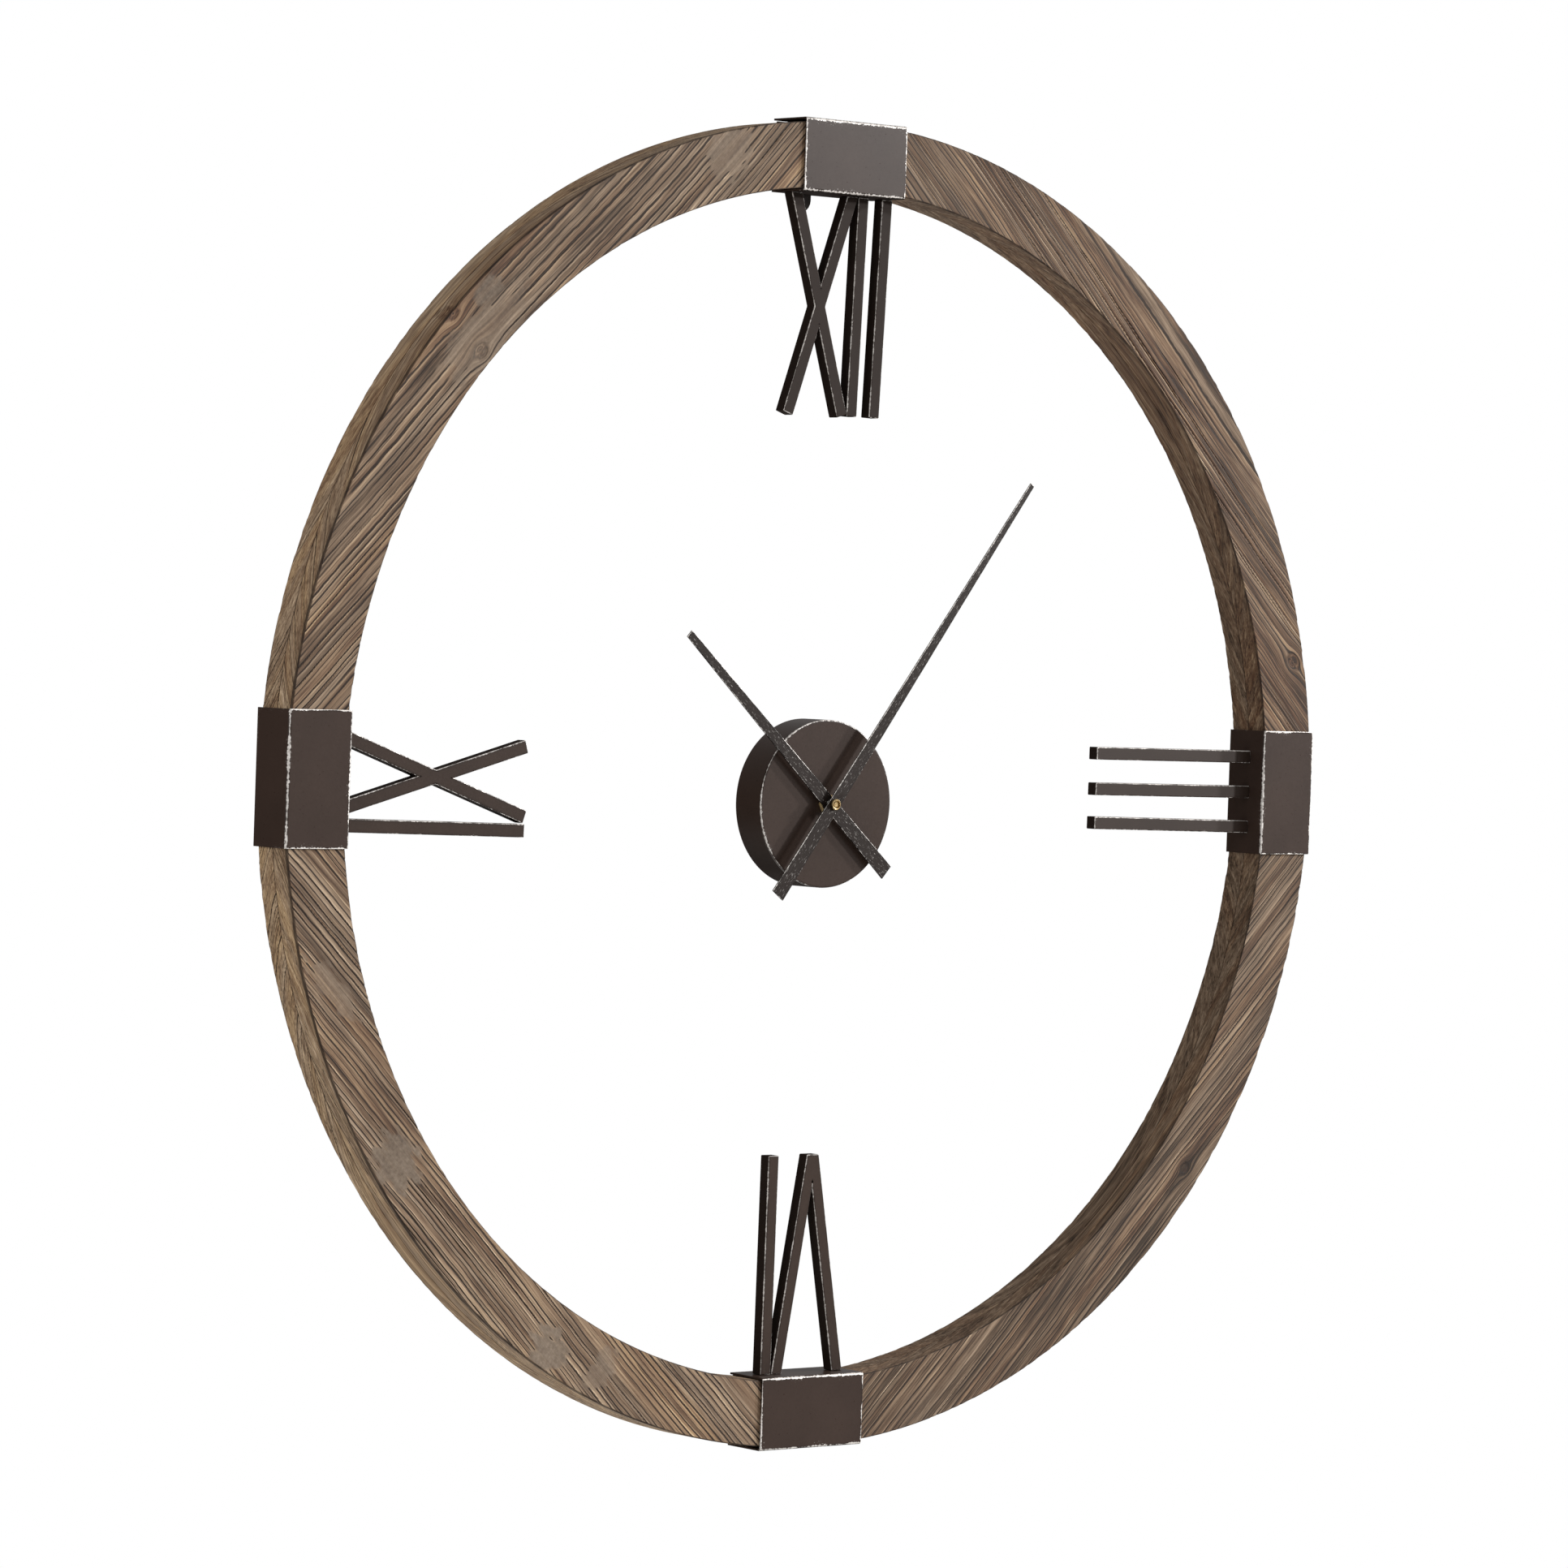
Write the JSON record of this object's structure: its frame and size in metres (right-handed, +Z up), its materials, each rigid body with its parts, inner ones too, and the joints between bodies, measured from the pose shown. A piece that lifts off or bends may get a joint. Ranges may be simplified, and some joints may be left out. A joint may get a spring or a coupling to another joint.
{
  "type": "wall clock",
  "caption": "Large open-dial wall clock: timber ring with steel sleeves, welded bar Roman numerals and a separate round hub with a quartz movement and two tapered hands.",
  "frame": {"origin": "the ring's centre, on the wall plane behind the clock", "axes": "+Z up towards twelve o'clock, +X right towards three o'clock, +Y into the wall, so the clock faces -Y"},
  "size_m": [0.8128, 0.035, 0.8128],
  "materials": {
    "timber": "weathered grey-brown softwood, wire-brushed, matt",
    "bronze_paint": "dark bronze paint on steel, semi-gloss, rubbed through at the edges",
    "hand_paint": "dark bronze paint on aluminium sheet, speckled, bright worn edges",
    "zinc_steel": "bright zinc plated steel",
    "grey_steel": "bare electrical steel",
    "brass": "turned brass",
    "copper": "enamelled copper wire",
    "rubber": "black rubber",
    "black_plastic": "moulded black plastic",
    "white_plastic": "moulded off-white plastic",
    "battery_wrap": "printed-free green shrink wrap",
    "board": "green circuit board"
  },
  "bodies": {
    "root": {"battery": "battery_wrap", "circuit_board": "board", "contact_negative": "zinc_steel", "contact_positive": "zinc_steel", "drive_coil": "copper", "hub_cup": "bronze_paint", "hub_nut": "brass", "hub_washer": "rubber", "movement_cover": "white_plastic", "movement_housing": "black_plastic", "nine_bar": "bronze_paint", "nine_x_falling": "bronze_paint", "nine_x_rising": "bronze_paint", "ring_back_lower_left": "timber", "ring_back_lower_right": "timber", "ring_back_upper_left": "timber", "ring_back_upper_right": "timber", "ring_front_lower_left": "timber", "ring_front_lower_right": "timber", "ring_front_upper_left": "timber", "ring_front_upper_right": "timber", "screw_nine_left": "zinc_steel", "screw_nine_right": "zinc_steel", "screw_six_left": "zinc_steel", "screw_six_right": "zinc_steel", "screw_three_left": "zinc_steel", "screw_three_right": "zinc_steel", "screw_twelve_left": "zinc_steel", "screw_twelve_right": "zinc_steel", "six_bar": "bronze_paint", "six_v_left": "bronze_paint", "six_v_right": "bronze_paint", "sleeve_nine": "bronze_paint", "sleeve_six": "bronze_paint", "sleeve_three": "bronze_paint", "sleeve_twelve": "bronze_paint", "stator": "grey_steel", "strap_nine": "zinc_steel", "strap_six": "zinc_steel", "strap_three": "zinc_steel", "strap_twelve": "zinc_steel", "three_bar_lower": "bronze_paint", "three_bar_middle": "bronze_paint", "three_bar_upper": "bronze_paint", "twelve_bar_inner": "bronze_paint", "twelve_bar_outer": "bronze_paint", "twelve_x_falling": "bronze_paint", "twelve_x_rising": "bronze_paint"},
    "minute_motion": {"minute_arbor": "brass", "minute_hand": "hand_paint", "hand_nut": "brass"},
    "hour_motion": {"hour_wheel": "white_plastic", "hour_hand": "hand_paint"},
    "minute_wheel": {"minute_wheel": "white_plastic"},
    "set_knob": {"set_knob": "black_plastic"},
    "second_wheel": {"second_wheel": "white_plastic"},
    "intermediate_wheel": {"intermediate_wheel": "white_plastic"},
    "rotor": {"rotor": "grey_steel"},
    "third_wheel": {"third_wheel": "white_plastic"},
    "centre_wheel": {"centre_wheel": "white_plastic"}
  },
  "joints": [
    {"name": "minute_hand_spin", "type": "hinge", "parent": "root", "child": "minute_motion", "pos_m": [0, -0.0323, -0.011], "axis": [0, 1, 0], "continuous": true},
    {"name": "hour_hand_spin", "type": "hinge", "parent": "root", "child": "hour_motion", "pos_m": [0, -0.0283, -0.011], "axis": [0, 1, 0], "continuous": true},
    {"name": "minute_wheel_spin", "type": "hinge", "parent": "root", "child": "minute_wheel", "pos_m": [0.012, -0.0177, -0.011], "axis": [0, 1, 0], "continuous": true},
    {"name": "set_knob_spin", "type": "hinge", "parent": "root", "child": "set_knob", "pos_m": [0.01971, -0.0028, -0.00181], "axis": [0, 1, 0], "continuous": true},
    {"name": "second_wheel_spin", "type": "hinge", "parent": "root", "child": "second_wheel", "pos_m": [0, -0.012, -0.011], "axis": [0, 1, 0], "continuous": true},
    {"name": "intermediate_wheel_spin", "type": "hinge", "parent": "root", "child": "intermediate_wheel", "pos_m": [-0.01163, -0.0102, -0.00788], "axis": [0, 1, 0], "continuous": true},
    {"name": "rotor_spin", "type": "hinge", "parent": "root", "child": "rotor", "pos_m": [-0.01351, -0.008, 0.00275], "axis": [0, 1, 0], "continuous": true},
    {"name": "third_wheel_spin", "type": "hinge", "parent": "root", "child": "third_wheel", "pos_m": [0.00308, -0.0138, 0.00049], "axis": [0, 1, 0], "continuous": true},
    {"name": "centre_wheel_spin", "type": "hinge", "parent": "root", "child": "centre_wheel", "pos_m": [0, -0.0158, -0.011], "axis": [0, 1, 0], "continuous": true}
  ],
  "couplings": [
    {"joint": "hour_hand_spin", "follows": "minute_hand_spin", "ratio": 0.083333},
    {"joint": "minute_wheel_spin", "follows": "minute_hand_spin", "ratio": -0.33333},
    {"joint": "set_knob_spin", "follows": "minute_hand_spin", "ratio": 1},
    {"joint": "intermediate_wheel_spin", "follows": "second_wheel_spin", "ratio": -6},
    {"joint": "rotor_spin", "follows": "second_wheel_spin", "ratio": 30},
    {"joint": "third_wheel_spin", "follows": "second_wheel_spin", "ratio": -0.125},
    {"joint": "centre_wheel_spin", "follows": "second_wheel_spin", "ratio": 0.016667}
  ]
}
